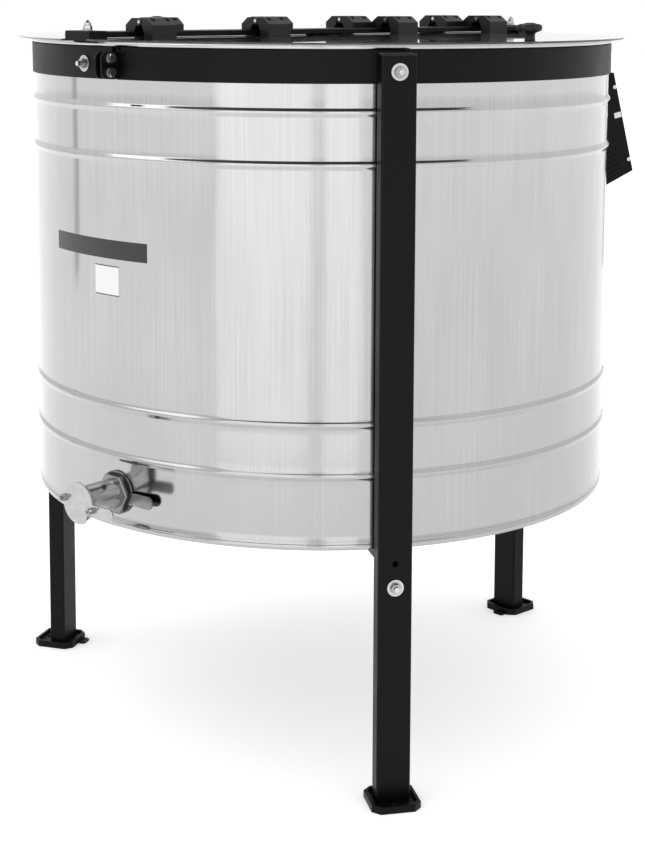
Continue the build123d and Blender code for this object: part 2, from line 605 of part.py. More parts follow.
# ------------------------------------------------------------------ basket
SHAFT_LOW, SHAFT_STEP, SHAFT_TOP = 340.0, 1141.5, 1160.0
HUB_R = 40.0
LOWER_HUB_LOW, LOWER_HUB_TOP = 456.0, 486.0
UPPER_HUB_LOW, UPPER_HUB_TOP = 1088.0, 1118.0
SPOKE_W, SPOKE_T = 14.0, 6.0
LOWER_SPOKE_LOW, UPPER_SPOKE_LOW = 460.0, 1100.0
RING_T, RING_H = 6.0, 20.0
INNER_RING_R = 190.0

with BuildPart() as basket_shaft:
    disc(Plane.XY.offset(SHAFT_LOW), SHAFT_R, SHAFT_STEP - SHAFT_LOW)
    disc(Plane.XY.offset(SHAFT_STEP), SHAFT_TOP_R, SHAFT_TOP - SHAFT_STEP)
    chamfer(basket_shaft.faces().sort_by(Axis.Z)[-1].edges(), 1)
save(basket_shaft, "basket_shaft")


def basket_wheel(hub_low, hub_top, spoke_low):
    """Welded wheel: hub, flat spokes, inner frame ring and outer ring."""
    ring(SHAFT_R, HUB_R, hub_low, hub_top)
    for k in range(SPOKES):
        with BuildSketch(flat_plane(15 + 360 / SPOKES * k, spoke_low)) as spoke:
            with Locations(((HUB_R + BASKET_R) / 2, 0)):
                Rectangle(BASKET_R - HUB_R + 4, SPOKE_W)
        extrude(spoke.sketch, amount=SPOKE_T)
    ring(BASKET_R - RING_T / 2, BASKET_R + RING_T / 2, spoke_low, spoke_low + RING_H)
    ring(INNER_RING_R - RING_T / 2, INNER_RING_R + RING_T / 2, spoke_low, spoke_low + RING_H)


with BuildPart() as basket_lower_wheel:
    basket_wheel(LOWER_HUB_LOW, LOWER_HUB_TOP, LOWER_SPOKE_LOW)
save(basket_lower_wheel, "basket_lower_wheel")

with BuildPart() as basket_upper_wheel:
    basket_wheel(UPPER_HUB_LOW, UPPER_HUB_TOP, UPPER_SPOKE_LOW - 14)
save(basket_upper_wheel, "basket_upper_wheel")

with BuildPart() as basket_uprights:
    for k in range(SPOKES):
        a = radians(15 + 360 / SPOKES * k)
        disc(Plane(origin=((BASKET_R - 8) * sin(a), -(BASKET_R - 8) * cos(a), LOWER_SPOKE_LOW + SPOKE_T)),
             4, UPPER_SPOKE_LOW - 14 - LOWER_SPOKE_LOW - SPOKE_T)
save(basket_uprights, "basket_uprights")

# ------------------------------------------------------------------ drive under the drum
GROOVE = 1.5


def pulley_points(radius, bore):
    """Half section of a grooved pulley: the belt runs on the middle band between two flanges."""
    low, high = PULLEY_Z, PULLEY_Z + PULLEY_T
    return [(bore, low), (radius + GROOVE, low), (radius + GROOVE, low + 2), (radius, low + 2),
            (radius, high - 2), (radius + GROOVE, high - 2), (radius + GROOVE, high), (bore, high)]


with BuildPart() as drive_pulley:
    with BuildSketch(Plane.XZ):
        with BuildLine():
            Polyline(*pulley_points(BIG_PULLEY_R, SHAFT_R), close=True)
        make_face()
    revolve(axis=Axis.Z)
    ring(SHAFT_R, 24, PULLEY_Z + PULLEY_T, PULLEY_Z + PULLEY_T + 8)
    with PolarLocations(60, 6):
        Hole(16)
save(drive_pulley, "drive_pulley")

motor_angle = radians(MOTOR_AZ)
MOTOR_X, MOTOR_Y = MOTOR_DIST * sin(motor_angle), -MOTOR_DIST * cos(motor_angle)
MOTOR_R, MOTOR_LOW, MOTOR_TOP = 44.0, 250.0, 336.0
MOTOR_SHAFT_R = 7.0
MOUNT_LOW, MOUNT_T, MOUNT_HALF = 336.0, 5.0, 66.0

with BuildPart() as motor_pulley:
    with BuildSketch(Plane(origin=(MOTOR_X, MOTOR_Y, 0), x_dir=(1, 0, 0), z_dir=(0, -1, 0))):
        with BuildLine():
            Polyline(*pulley_points(SMALL_PULLEY_R, MOTOR_SHAFT_R), close=True)
        make_face()
    revolve(axis=Axis((MOTOR_X, MOTOR_Y, 0), (0, 0, 1)))
save(motor_pulley, "motor_pulley")

with BuildPart() as motor_shaft:
    disc(Plane(origin=(MOTOR_X, MOTOR_Y, MOTOR_TOP - 30)), MOTOR_SHAFT_R, PULLEY_Z + PULLEY_T + 4 - MOTOR_TOP + 30)
save(motor_shaft, "motor_shaft")

with BuildPart() as motor_housing:
    disc(Plane(origin=(MOTOR_X, MOTOR_Y, MOTOR_LOW + 14)), MOTOR_R, MOTOR_TOP - MOTOR_LOW - 14)
    for k in range(18):
        a = radians(20 * k)
        with BuildSketch(Plane(origin=(MOTOR_X + (MOTOR_R - 1.2) * cos(a), MOTOR_Y + (MOTOR_R - 1.2) * sin(a),
                                       MOTOR_LOW + 24), x_dir=(-sin(a), cos(a), 0), z_dir=(0, 0, 1))):
            Rectangle(5, 3.2)
        extrude(amount=MOTOR_TOP - MOTOR_LOW - 36, mode=Mode.SUBTRACT)
    disc(Plane(origin=(MOTOR_X, MOTOR_Y, MOTOR_TOP - 32)), MOTOR_SHAFT_R + RUN, 40, Mode.SUBTRACT)
    disc(Plane(origin=(MOTOR_X, MOTOR_Y, MOTOR_LOW)), MOTOR_R - 2, 14)
    fillet(motor_housing.faces().sort_by(Axis.Z)[0].edges(), 5)
save(motor_housing, "motor_housing")

with BuildPart() as motor_mount:
    with BuildSketch(flat_plane(MOTOR_AZ, MOUNT_LOW)):
        with Locations((MOTOR_DIST, 0)):
            Rectangle(110, 2 * MOUNT_HALF + 2 * MOUNT_T)
            Circle(16, mode=Mode.SUBTRACT)
    extrude(amount=MOUNT_T)
    for side in (-1, 1):
        with BuildSketch(flat_plane(MOTOR_AZ, MOUNT_LOW)):
            with Locations((MOTOR_DIST, side * (MOUNT_HALF + MOUNT_T / 2))):
                Rectangle(110, MOUNT_T)
        extrude(amount=DRUM_BOTTOM - PLATE_T - MOUNT_LOW)
save(motor_mount, "motor_mount")

BELT_T, BELT_W = 1.3, 11.0
with BuildPart() as drive_belt:
    for extra, mode in ((RUN + BELT_T, Mode.ADD), (RUN, Mode.SUBTRACT)):
        with BuildSketch(flat_plane(MOTOR_AZ, PULLEY_Z + (PULLEY_T - BELT_W) / 2)):
            Circle(BIG_PULLEY_R + extra)
            with Locations((MOTOR_DIST, 0)):
                Circle(SMALL_PULLEY_R + extra)
            make_hull()
        extrude(amount=BELT_W, mode=mode)
save(drive_belt, "drive_belt")

# ------------------------------------------------------------------ honey gate
PIPE_R, PIPE_BORE = 24.0, 21.0
GATE_FACE = 582.0          # radius of the valve seat face
BLADE_T = 3.0
PLATE_OUT_R = 33.0
PIVOT_X, PIVOT_Y = -31.0, 4.0
CLAMP_X, CLAMP_Y = 29.0, -7.0
PIVOT_R = 3.0
NUT_LEVER_END, NUT_LEVER_W = 83.0, 20.0      # flat tightening lever welded on the outer nut

GATE_OUT = Axis((0, 0, 0), (sin(radians(GATE_AZ)), -cos(radians(GATE_AZ)), 0))
with BuildPart() as gate_nuts:
    washer(radial_plane(GATE_AZ, DRUM_R + 0.9, GATE_Z), 35, PIPE_R + 0.02, 3)
    hexagon(radial_plane(GATE_AZ, DRUM_R + 3.9, GATE_Z), 58, 10, PIPE_R + 0.02)
    chamfer(gate_nuts.faces().sort_by(GATE_OUT)[-1].outer_wire().edges(), 1.5)
    with BuildSketch(radial_plane(GATE_AZ, DRUM_R + 3.9, GATE_Z)):
        with Locations((NUT_LEVER_END / 2, -4)):
            RectangleRounded(NUT_LEVER_END, NUT_LEVER_W, NUT_LEVER_W / 2 - 0.5)
        Circle(PIPE_R + 3, mode=Mode.SUBTRACT)
    extrude(amount=3)
    hexagon(radial_plane(GATE_AZ, DRUM_R - 14, GATE_Z), 58, 8, PIPE_R + 0.02)
save(gate_nuts, "gate_nuts")

SEAT_T = 4.0
STUD_OUT = 12.0
BLADE_LOW = GATE_FACE + 0.3
BLADE_TOP = BLADE_LOW + BLADE_T

with BuildPart() as gate_body:
    disc(radial_plane(GATE_AZ, DRUM_R - 14, GATE_Z), PIPE_R, GATE_FACE - DRUM_R + 14 - SEAT_T)
    seat = radial_plane(GATE_AZ, GATE_FACE - SEAT_T, GATE_Z)
    disc(seat, 30, SEAT_T)
    for x, y in ((PIVOT_X, PIVOT_Y), (CLAMP_X, CLAMP_Y)):
        disc_at(seat, x, y, 8, SEAT_T)
    disc(radial_plane(GATE_AZ, DRUM_R - 20, GATE_Z), PIPE_BORE, 140, Mode.SUBTRACT)
    for x, y in ((PIVOT_X, PIVOT_Y), (CLAMP_X, CLAMP_Y)):
        disc_at(seat, x, y, PIVOT_R + 0.02, SEAT_T, Mode.SUBTRACT)
save(gate_body, "gate_body")

HANDLE_END, HANDLE_W = 78.0, 19.0
SLOT_W, SLOT_L, SLOT_LEAN = 10.0, 30.0, 20.5
lean = radians(SLOT_LEAN)
with BuildPart() as gate_blade:
    with BuildSketch(radial_plane(GATE_AZ, BLADE_LOW, GATE_Z)):
        Circle(PLATE_OUT_R)
        with Locations((PIVOT_X, PIVOT_Y)):
            Circle(9.5)
        with Locations((HANDLE_END / 2, -6)):
            RectangleRounded(HANDLE_END, HANDLE_W, 8)
        with Locations((CLAMP_X - SLOT_L / 2 * sin(lean), CLAMP_Y - SLOT_L / 2 * cos(lean))):
            Rectangle(SLOT_W, SLOT_L, rotation=-SLOT_LEAN, mode=Mode.SUBTRACT)
        with Locations((CLAMP_X, CLAMP_Y)):
            Circle(SLOT_W / 2, mode=Mode.SUBTRACT)
        with Locations((PIVOT_X, PIVOT_Y)):
            Circle(PIVOT_R + RUN, mode=Mode.SUBTRACT)
    extrude(amount=BLADE_T)
save(gate_blade, "gate_blade")

with BuildPart() as gate_bolts:
    behind = radial_plane(GATE_AZ, GATE_FACE - SEAT_T, GATE_Z)
    for x, y in ((PIVOT_X, PIVOT_Y), (CLAMP_X, CLAMP_Y)):
        disc_at(behind, x, y, PIVOT_R, BLADE_TOP - GATE_FACE + SEAT_T + STUD_OUT)
        disc_at(behind.offset(-3), x, y, 5, 3)
    front = radial_plane(GATE_AZ, BLADE_TOP + 0.3, GATE_Z)
    with BuildSketch(front):
        with Locations((PIVOT_X, PIVOT_Y)):
            RegularPolygon(5, 6, major_radius=False)
            Circle(PIVOT_R + 0.02, mode=Mode.SUBTRACT)
    extrude(amount=6)
save(gate_bolts, "gate_bolts")

with BuildPart() as gate_wing_nut:
    with BuildSketch(front):
        with Locations((CLAMP_X, CLAMP_Y)):
            Circle(5.5)
            RectangleRounded(25, 3.2, 1.2, rotation=25)
            Circle(PIVOT_R + RUN, mode=Mode.SUBTRACT)
    extrude(amount=8)
save(gate_wing_nut, "gate_wing_nut")

# ------------------------------------------------------------------ control box
BOX_T = 2.0
COVER_D = 9.0
BOX_TOP_Z, BOX_TIP_Z, BOX_BACK_Z = 1103.0, 924.0, 884.0
BOX_TOP_R, BOX_TIP_R, BOX_BACK_R = 528.0, 571.0, 488.0
BOX_SKIN_R = DRUM_R + 4.4                    # the back of the box stands clear of the beads
slope_len = sqrt((BOX_TIP_R - BOX_TOP_R) ** 2 + (BOX_TOP_Z - BOX_TIP_Z) ** 2)
SLOPE_R, SLOPE_Z = (BOX_TOP_Z - BOX_TIP_Z) / slope_len, (BOX_TIP_R - BOX_TOP_R) / slope_len
box_angle = radians(BOX_AZ)


def panel_plane(depth):
    """Plane of the sloping control panel, 'depth' below its outer face: x runs around, y up the slope."""
    radius = (BOX_TOP_R + BOX_TIP_R) / 2 - depth * SLOPE_R
    height = (BOX_TOP_Z + BOX_TIP_Z) / 2 - depth * SLOPE_Z
    return Plane(origin=(radius * sin(box_angle), -radius * cos(box_angle), height),
                 x_dir=(cos(box_angle), sin(box_angle), 0),
                 z_dir=(SLOPE_R * sin(box_angle), -SLOPE_R * cos(box_angle), SLOPE_Z))


def wedge(half_width, inset, skin):
    """Solid wedge of the box, drawn in from its outside by 'inset' and cut off at the radius 'skin'."""
    with BuildPart() as solid:
        with BuildSketch(side_plane(BOX_AZ, 0)):
            with BuildLine():
                Polyline((BOX_BACK_R, BOX_TOP_Z), (BOX_TOP_R, BOX_TOP_Z), (BOX_TIP_R, BOX_TIP_Z),
                         (BOX_BACK_R, BOX_BACK_Z), close=True)
            make_face()
            if inset:
                offset(amount=-inset, kind=Kind.INTERSECTION, mode=Mode.REPLACE)
        extrude(amount=half_width, both=True)
        with Locations((0, 0, (BOX_TOP_Z + BOX_BACK_Z) / 2)):
            Cylinder(skin, 400, mode=Mode.SUBTRACT)
    return solid.part


box_outside = wedge(BOX_W / 2, 0, BOX_SKIN_R)
box_inside = wedge(BOX_W / 2 - BOX_T, BOX_T, BOX_SKIN_R + BOX_T)

VENT_R, VENT_PITCH, VENT_ROWS, VENT_COLS = 1.3, 5.8, 6, 4
GLAND_R, GLAND_AROUND = 530.0, 40.0
VENT_SLOPE = (BOX_TIP_Z - BOX_BACK_Z) / (BOX_TIP_R - BOX_BACK_R)



def gland_plane(out):
    """Plane facing out of the box's sloping bottom at the cable gland."""
    run, rise = BOX_TIP_R - BOX_BACK_R, BOX_TIP_Z - BOX_BACK_Z
    length = sqrt(run ** 2 + rise ** 2)
    radius = GLAND_R + out * rise / length
    height = BOX_BACK_Z + (GLAND_R - BOX_BACK_R) * rise / run - out * run / length
    c, d = cos(box_angle), sin(box_angle)
    return Plane(origin=(radius * d + GLAND_AROUND * c, -radius * c + GLAND_AROUND * d, height),
                 x_dir=(c, d, 0), z_dir=(rise / length * d, -rise / length * c, -run / length))


with BuildPart() as control_box:
    add(box_outside)
    add(box_inside, mode=Mode.SUBTRACT)
    split(bisect_by=panel_plane(COVER_D), keep=Keep.BOTTOM)
    with BuildSketch(side_plane(BOX_AZ, 120)):
        for row in range(VENT_ROWS):
            for col in range(VENT_COLS):
                r = 512 + VENT_PITCH * col + (VENT_ROWS - row) * 2.1 + (row % 2) * VENT_PITCH / 2
                with Locations((r, 911 + 9 * row + VENT_SLOPE * VENT_PITCH * col)):
                    Circle(VENT_R)
    extrude(amount=240, mode=Mode.SUBTRACT)
    disc(gland_plane(-BOX_T - 2), 8.1, BOX_T + 4, Mode.SUBTRACT)
save(control_box, "control_box")

KNOB_AT, START_AT, STOP_AT, ESTOP_AT = (48, 48), (-50, -12), (-18, -12), (42, -42)
DISPLAY_AT, DISPLAY_W, DISPLAY_H = (-28, 46), 84, 40
BUTTON_R, ESTOP_STEM_R, KNOB_SHAFT_R = 7.6, 7.0, 3.0
FIT = 0.35

with BuildPart() as control_cover:
    add(box_outside)
    add(box_inside, mode=Mode.SUBTRACT)
    split(bisect_by=panel_plane(COVER_D - 0.2), keep=Keep.TOP)
    for (x, y), radius in ((KNOB_AT, KNOB_SHAFT_R + FIT), (START_AT, BUTTON_R + 1.6), (STOP_AT, BUTTON_R + 1.6),
                           (ESTOP_AT, ESTOP_STEM_R + 2.4)):
        disc_at(panel_plane(BOX_T + 1), x, y, radius, BOX_T + 2, Mode.SUBTRACT)
    with BuildSketch(panel_plane(BOX_T + 1)):
        with Locations(DISPLAY_AT):
            Rectangle(DISPLAY_W - 8, DISPLAY_H - 8)
    extrude(amount=BOX_T + 2, mode=Mode.SUBTRACT)
save(control_cover, "control_cover")

with BuildPart() as display_window:
    with BuildSketch(panel_plane(0)):
        with Locations(DISPLAY_AT):
            RectangleRounded(DISPLAY_W, DISPLAY_H, 3)
    extrude(amount=1)
save(display_window, "display_window")

with BuildPart() as button_bezels:
    for x, y in (START_AT, STOP_AT):
        for depth, outer, thick in ((0, BUTTON_R + 4, 2), (BOX_T + 3, BUTTON_R + 1.5, BOX_T + 3)):
            with BuildSketch(panel_plane(depth)):
                with Locations((x, y)):
                    Circle(outer)
                    Circle(BUTTON_R + FIT, mode=Mode.SUBTRACT)
            extrude(amount=thick)
    for depth, outer, thick in ((0, 16, 3), (BOX_T + 5, ESTOP_STEM_R + 2.3, BOX_T + 5)):
        with BuildSketch(panel_plane(depth)):
            with Locations(ESTOP_AT):
                Circle(outer)
                Circle(ESTOP_STEM_R + FIT, mode=Mode.SUBTRACT)
        extrude(amount=thick)
save(button_bezels, "button_bezels")

for name, place in (("start_button", START_AT), ("stop_button", STOP_AT)):
    with BuildPart() as button:
        disc_at(panel_plane(BOX_T + 1), *place, BUTTON_R, BOX_T + 1 + 5)
        chamfer(button.edges().sort_by(Axis(panel_plane(0).origin, panel_plane(0).z_dir))[-1], 0.8)
    save(button, name)

with BuildPart() as emergency_stop:
    disc_at(panel_plane(BOX_T + 4), *ESTOP_AT, ESTOP_STEM_R, BOX_T + 4 + 8.5)
    disc_at(panel_plane(-8), *ESTOP_AT, 18, 11)
    fillet(emergency_stop.edges().sort_by(Axis(panel_plane(0).origin, panel_plane(0).z_dir))[-1], 4)
save(emergency_stop, "emergency_stop")

with BuildPart() as speed_knob:
    disc_at(panel_plane(BOX_T + 6), *KNOB_AT, KNOB_SHAFT_R, BOX_T + 6 + 2)
    disc_at(panel_plane(-0.6), *KNOB_AT, 17, 4)
    disc_at(panel_plane(-4.6), *KNOB_AT, 13, 13)
    with BuildSketch(panel_plane(-8)):
        with Locations(KNOB_AT):
            with PolarLocations(14.6, 12):
                Circle(2.4)
    extrude(amount=12, mode=Mode.SUBTRACT)
    with BuildSketch(panel_plane(-17)):
        with Locations((KNOB_AT[0], KNOB_AT[1] + 8)):
            Rectangle(1.6, 9)
    extrude(amount=1.5, mode=Mode.SUBTRACT)
save(speed_knob, "speed_knob")

with BuildPart() as control_board:
    with BuildSketch(panel_plane(COVER_D + 5)):
        Rectangle(140, 120)
    extrude(amount=1.6)
    for x, y, w, h, tall in ((-40, -20, 30, 24, 5), (10, 25, 18, 18, 4), (45, -30, 14, 40, 6), (-30, 40, 60, 8, 3)):
        with BuildSketch(panel_plane(COVER_D + 5)):
            with Locations((x, y)):
                Rectangle(w, h)
        extrude(amount=-tall)
    for x in (-64, 64):
        for y in (-54, 54):
            disc_at(panel_plane(COVER_D + 5), x, y, 3, COVER_D + 5 - BOX_T)
save(control_board, "control_board")


def skirt_plane(height, side):
    """Plane on the side of the cover's skirt, half way across it, facing away from the box."""
    radius = BOX_TOP_R + (BOX_TOP_Z - height) * SLOPE_Z / SLOPE_R
    around = side * BOX_W / 2
    a = box_angle
    return radius, Plane(origin=(around * cos(a), around * sin(a), 0), x_dir=(sin(a), -cos(a), 0),
                         z_dir=(-cos(a), -sin(a), 0))


with BuildPart() as cover_fasteners:
    for side in (-1, 1):
        for height in (1077, 945):
            radius, face = skirt_plane(height, side)
            disc_at(face, radius - COVER_D / 2 / SLOPE_R, height, 3.6, -side * 2.2)
        radius, face = skirt_plane(1026, side)
        with BuildSketch(face):
            with Locations((radius - COVER_D / SLOPE_R, 1026)):
                Rectangle(14, 10, rotation=13)
        extrude(amount=-side * 1.4)
save(cover_fasteners, "cover_fasteners")

with BuildPart() as box_spacers:
    for low in (930, 1020):
        with BuildSketch(side_plane(BOX_AZ, 0)):
            with Locations(((DRUM_R + BOX_SKIN_R) / 2, low)):
                Rectangle(BOX_SKIN_R - DRUM_R - 0.1, 20)
        revolve(axis=Axis.Z, revolution_arc=6)
        with BuildSketch(side_plane(BOX_AZ, 0)):
            with Locations(((DRUM_R + BOX_SKIN_R) / 2, low)):
                Rectangle(BOX_SKIN_R - DRUM_R - 0.1, 20)
        revolve(axis=Axis.Z, revolution_arc=-6)
save(box_spacers, "box_spacers")

with BuildPart() as cable_gland:
    disc(gland_plane(-BOX_T - 6), 8, BOX_T + 8)
    hexagon(gland_plane(-BOX_T - 4), 20, 4)
    hexagon(gland_plane(0), 20, 5)
    disc(gland_plane(4), 9.5, 14)
    disc(gland_plane(-BOX_T - 8), 4, 40, Mode.SUBTRACT)
save(cable_gland, "cable_gland")

# ------------------------------------------------------------------ blank labels on the drum
LABELS = ((-11.6, 26.7, 828.0, 858.0), (1.9, 6.4, 769.0, 817.0))
with BuildPart() as blank_labels:
    for start, arc, low, high in LABELS:
        with BuildSketch(side_plane(start, 0)):
            with Locations((DRUM_R + 0.2, (low + high) / 2)):
                Rectangle(0.3, high - low)
        revolve(axis=Axis.Z, revolution_arc=arc)
save(blank_labels, "blank_labels")
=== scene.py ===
import json
import math

import bpy
import numpy as np
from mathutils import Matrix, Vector


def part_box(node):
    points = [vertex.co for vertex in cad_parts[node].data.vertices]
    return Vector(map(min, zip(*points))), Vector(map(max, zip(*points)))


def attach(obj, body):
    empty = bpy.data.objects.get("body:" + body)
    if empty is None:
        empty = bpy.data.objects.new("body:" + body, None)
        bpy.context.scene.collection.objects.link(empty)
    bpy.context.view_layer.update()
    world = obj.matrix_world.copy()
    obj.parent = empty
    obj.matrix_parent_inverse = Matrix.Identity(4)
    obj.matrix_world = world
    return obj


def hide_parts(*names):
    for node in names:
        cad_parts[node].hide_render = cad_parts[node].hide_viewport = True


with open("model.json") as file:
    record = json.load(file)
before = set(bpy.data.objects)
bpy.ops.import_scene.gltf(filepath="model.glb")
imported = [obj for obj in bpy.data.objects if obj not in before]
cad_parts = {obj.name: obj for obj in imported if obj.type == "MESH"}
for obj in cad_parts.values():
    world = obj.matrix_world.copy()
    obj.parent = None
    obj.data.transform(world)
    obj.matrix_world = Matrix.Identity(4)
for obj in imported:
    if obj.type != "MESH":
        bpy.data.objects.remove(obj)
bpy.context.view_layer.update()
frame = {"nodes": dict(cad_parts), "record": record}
nodes = frame["nodes"]
TAU = 2 * math.pi
DRUM_R, SHEET_T = 0.5, 0.0012
NOISE_LOW, NOISE_HIGH = 0.25, 0.75     # most of a noise texture's values lie between these


# ------------------------------------------------------------------ material helpers
class Nodes:
    """Short names for building one node material."""

    def __init__(self, name):
        self.mat = bpy.data.materials.new(name)
        self.mat.use_nodes = True
        self.tree = self.mat.node_tree
        self.bsdf = self.tree.nodes["Principled BSDF"]

    def new(self, kind, **values):
        node = self.tree.nodes.new(kind)
        for key, value in values.items():
            setattr(node, key, value)
        return node

    def link(self, source, target):
        self.tree.links.new(source, target)

    def math(self, operation, a, b=0.0, clamp=False):
        node = self.new("ShaderNodeMath", operation=operation, use_clamp=clamp)
        for socket, value in zip(node.inputs, (a, b)):
            if hasattr(value, "links"):
                self.link(value, socket)
            else:
                socket.default_value = value
        return node.outputs[0]

    def coords(self):
        return self.new("ShaderNodeTexCoord").outputs["Object"]

    def wrapped(self):
        """Object position unrolled at the drum's radius, as (arc length, 0, height), and the height."""
        split = self.new("ShaderNodeSeparateXYZ")
        self.link(self.coords(), split.inputs[0])
        x, y, z = split.outputs
        angle = self.math("ARCTAN2", x, y)
        join = self.new("ShaderNodeCombineXYZ")
        self.link(self.math("MULTIPLY", angle, DRUM_R), join.inputs[0])
        self.link(z, join.inputs[2])
        return join.outputs[0], z

    def scaled(self, vector, scale):
        node = self.new("ShaderNodeMapping")
        node.inputs["Scale"].default_value = scale
        self.link(vector, node.inputs["Vector"])
        return node.outputs[0]

    def noise(self, vector, scale, detail=3.0, rough=0.5):
        node = self.new("ShaderNodeTexNoise")
        node.inputs["Scale"].default_value = scale
        node.inputs["Detail"].default_value = detail
        node.inputs["Roughness"].default_value = rough
        self.link(vector, node.inputs["Vector"])
        return node.outputs["Fac"]

    def spread(self, value, low, high):
        """Noise value mapped from its usual range to low to high, and held there."""
        node = self.new("ShaderNodeMapRange")
        node.inputs["From Min"].default_value = NOISE_LOW
        node.inputs["From Max"].default_value = NOISE_HIGH
        node.inputs["To Min"].default_value = low
        node.inputs["To Max"].default_value = high
        self.link(value, node.inputs["Value"])
        return node.outputs["Result"]

    def tint(self, value, dark, light):
        node = self.new("ShaderNodeMix", data_type="RGBA")
        node.inputs["A"].default_value = (*dark, 1)
        node.inputs["B"].default_value = (*light, 1)
        self.link(value, node.inputs["Factor"])
        self.link(node.outputs["Result"], self.bsdf.inputs["Base Color"])
        return node

    def bump(self, height, distance, strength=1.0, edge=0.0):
        """Bump from a height, over normals rounded at the edges by 'edge' metres."""
        node = self.new("ShaderNodeBump")
        node.inputs["Distance"].default_value = distance
        node.inputs["Strength"].default_value = strength
        self.link(height, node.inputs["Height"])
        if edge:
            bevel = self.new("ShaderNodeBevel", samples=4)
            bevel.inputs["Radius"].default_value = edge
            self.link(bevel.outputs[0], node.inputs["Normal"])
        self.link(node.outputs[0], self.bsdf.inputs["Normal"])


def set_values(bsdf, **values):
    """Even values set on the shader's own sockets."""
    names = {"metal": "Metallic", "rough": "Roughness", "ior": "IOR",
             "transmission": "Transmission Weight", "spec": "Specular IOR Level"}
    for key, value in values.items():
        bsdf.inputs[names[key]].default_value = value


LOWER_SHADE_TOP, LOWER_SHADE_RATE = 1.15, 0.75       # height where the painted shade starts, and its growth per metre
HEM_RIPPLE_TOP = 0.013                 # height above the drum's lower edge that ripples


def sheet_steel():
    """Bright rolled stainless sheet: fine upright grain, slow waviness, faint cloudiness.

    Its tint gets darker towards the floor: painted shade on the lower wall.
    """
    n = Nodes("stainless_sheet")
    wrap, z = n.wrapped()
    grain = n.noise(n.scaled(wrap, (420, 1, 3.5)), 1.0, 4, 0.6)
    wave = n.noise(n.scaled(wrap, (7.5, 1, 1.1)), 1.0, 2, 0.45)
    cloud = n.noise(n.scaled(wrap, (9, 1, 3)), 1.0, 4, 0.6)
    # painted shade: the tint darkens steadily towards the floor
    lower_shade = n.math("MULTIPLY", n.math("SUBTRACT", LOWER_SHADE_TOP, z), LOWER_SHADE_RATE)
    streaks = n.math("ADD", n.math("MULTIPLY", grain, 0.6), n.math("MULTIPLY", cloud, 0.4))
    shade = n.spread(streaks, 0.0, 1.0)
    n.tint(n.math("SUBTRACT", shade, lower_shade, clamp=True), (0.420, 0.422, 0.425), (0.575, 0.575, 0.573))
    gloss = n.math("ADD", n.math("MULTIPLY", grain, 0.5), n.math("MULTIPLY", cloud, 0.5))
    n.link(n.spread(gloss, 0.085, 0.165), n.bsdf.inputs["Roughness"])
    set_values(n.bsdf, metal=1.0)
    ripple = n.noise(n.scaled(wrap, (55, 1, 90)), 1.0, 3, 0.6)
    near_hem = n.math("LESS_THAN", z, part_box("drum_wall")[0][2] + HEM_RIPPLE_TOP)
    height = n.math("ADD", wave, n.math("MULTIPLY", grain, 0.004))
    height = n.math("ADD", height, n.math("MULTIPLY", n.math("MULTIPLY", ripple, near_hem), 0.12))
    n.bump(height, 0.0022)
    return n.mat


def turned_steel(name, light, rough, shade_depth=0.006):
    """Machined or plated steel: turning marks, small colour shifts, and painted shade darkening the
    corners to a depth in metres set by the last argument.
    """
    n = Nodes(name)
    pos = n.coords()
    fine = n.noise(n.scaled(pos, (1, 1, 6)), 700, 3, 0.6)
    cloud = n.noise(pos, 60, 3, 0.6)
    # painted shade: ambient occlusion darkens the colour in corners and recesses
    corner = n.new("ShaderNodeAmbientOcclusion", samples=6, only_local=True)
    corner.inputs["Distance"].default_value = shade_depth
    open_face = n.math("MULTIPLY", corner.outputs["AO"], corner.outputs["AO"])
    mix = n.math("MULTIPLY", n.spread(cloud, 0.75, 1.0), open_face, clamp=True)
    n.tint(mix, tuple(v * 0.12 for v in light), light)
    n.link(n.spread(fine, rough * 0.75, rough * 1.35), n.bsdf.inputs["Roughness"])
    set_values(n.bsdf, metal=1.0)
    n.bump(fine, 0.00004, 0.6, 0.0004)
    return n.mat


def powder_coat():
    """Satin black powder coat: orange peel and slightly paler clouds and specks."""
    n = Nodes("black_powder_coat")
    pos = n.coords()
    peel = n.noise(pos, 900, 2, 0.5)
    cloud = n.noise(pos, 9, 5, 0.62)
    specks = n.noise(pos, 260, 4, 0.7)
    dust = n.math("ADD", n.math("MULTIPLY", cloud, 0.7), n.math("MULTIPLY", specks, 0.3))
    n.tint(dust, (0.0010, 0.0010, 0.0011), (0.0034, 0.0034, 0.0036))
    n.link(n.spread(cloud, 0.36, 0.50), n.bsdf.inputs["Roughness"])
    set_values(n.bsdf, spec=0.13)
    n.bump(peel, 0.00012, 0.55, 0.0009)
    return n.mat


def plastic(name, dark, light, rough=0.42, grain=1400, depth=0.00006):
    """Moulded plastic or rubber: fine texture and small shifts of colour and gloss."""
    n = Nodes(name)
    pos = n.coords()
    fine = n.noise(pos, grain, 2, 0.5)
    cloud = n.noise(pos, 30, 4, 0.6)
    n.tint(cloud, dark, light)
    n.link(n.spread(cloud, rough * 0.85, rough * 1.15), n.bsdf.inputs["Roughness"])
    set_values(n.bsdf, spec=0.36)
    n.bump(fine, depth, 0.6, 0.0005)
    return n.mat


def clear_sheet():
    """Clear polycarbonate with faint haze, fine scratches and a trace of cool tint."""
    n = Nodes("clear_lid")
    pos = n.coords()
    scratch = n.noise(n.scaled(pos, (300, 14, 1)), 1.0, 5, 0.7)
    haze = n.noise(pos, 5, 4, 0.6)
    n.tint(haze, (0.93, 0.955, 0.96), (0.985, 0.99, 0.99))
    n.link(n.spread(haze, 0.012, 0.035), n.bsdf.inputs["Roughness"])
    set_values(n.bsdf, transmission=0.97, ior=1.5)
    n.bump(scratch, 0.00001, 0.25)
    return n.mat


